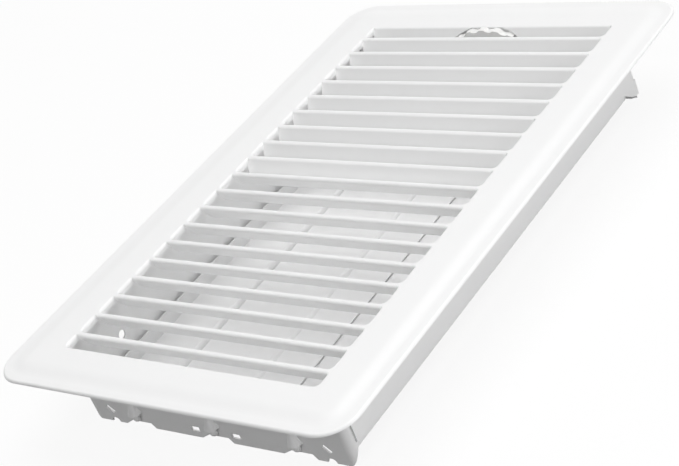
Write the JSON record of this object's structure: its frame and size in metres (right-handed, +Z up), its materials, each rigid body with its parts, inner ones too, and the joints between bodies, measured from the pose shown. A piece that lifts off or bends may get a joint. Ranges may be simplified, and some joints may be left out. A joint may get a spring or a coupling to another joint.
{
  "type": "floor register",
  "caption": "Rectangular floor register: a white louvred steel face plate over a drop-in damper box, with opposed damper blades turned together by a thumbwheel in the end slot.",
  "frame": {"origin": "middle of the face plate on the floor plane, where the turned-down rim meets the floor", "axes": "+Z up out of the floor, +Y along the length towards the thumbwheel, +X across the width"},
  "size_m": [0.1856, 0.2938, 0.0399],
  "materials": {
    "powder_coat": "smooth satin white powder coat on steel",
    "wheel_plastic": "white moulded plastic",
    "plated_steel": "dull zinc plate"
  },
  "bodies": {
    "frame_box": {"face_plate": "powder_coat", "near_end_bracket": "powder_coat", "far_end_bracket": "powder_coat", "left_side_rail": "powder_coat", "right_side_rail": "powder_coat"},
    "middle_damper": {"middle_blade": "powder_coat", "middle_pivot_rod": "powder_coat", "thumbwheel": "wheel_plastic"},
    "left_damper": {"left_blade": "powder_coat", "left_pivot_rod": "powder_coat", "left_crank_pin": "plated_steel"},
    "right_damper": {"right_blade": "powder_coat", "right_pivot_rod": "powder_coat", "right_crank_pin": "plated_steel"},
    "tie_link": {"tie_bar": "plated_steel"}
  },
  "joints": [
    {"name": "damper_turn", "type": "hinge", "parent": "frame_box", "child": "middle_damper", "pos_m": [0, 0, -0.0322], "axis": [0, 1, 0], "range_deg": [0, 85]},
    {"name": "left_blade_turn", "type": "hinge", "parent": "frame_box", "child": "left_damper", "pos_m": [-0.0432, 0, -0.0322], "axis": [0, 1, 0], "range_deg": [-85, 0]},
    {"name": "right_blade_turn", "type": "hinge", "parent": "frame_box", "child": "right_damper", "pos_m": [0.0432, 0, -0.0322], "axis": [0, 1, 0], "range_deg": [-85, 0]},
    {"name": "tie_bar_slide", "type": "slide", "parent": "frame_box", "child": "tie_link", "axis": [1, 0, 0], "range_m": [0, 0.00446]}
  ],
  "couplings": [
    {"joint": "left_blade_turn", "follows": "damper_turn", "ratio": -1},
    {"joint": "right_blade_turn", "follows": "damper_turn", "ratio": -1},
    {"joint": "tie_bar_slide", "follows": "damper_turn", "m_per_rad": 0.003006}
  ]
}
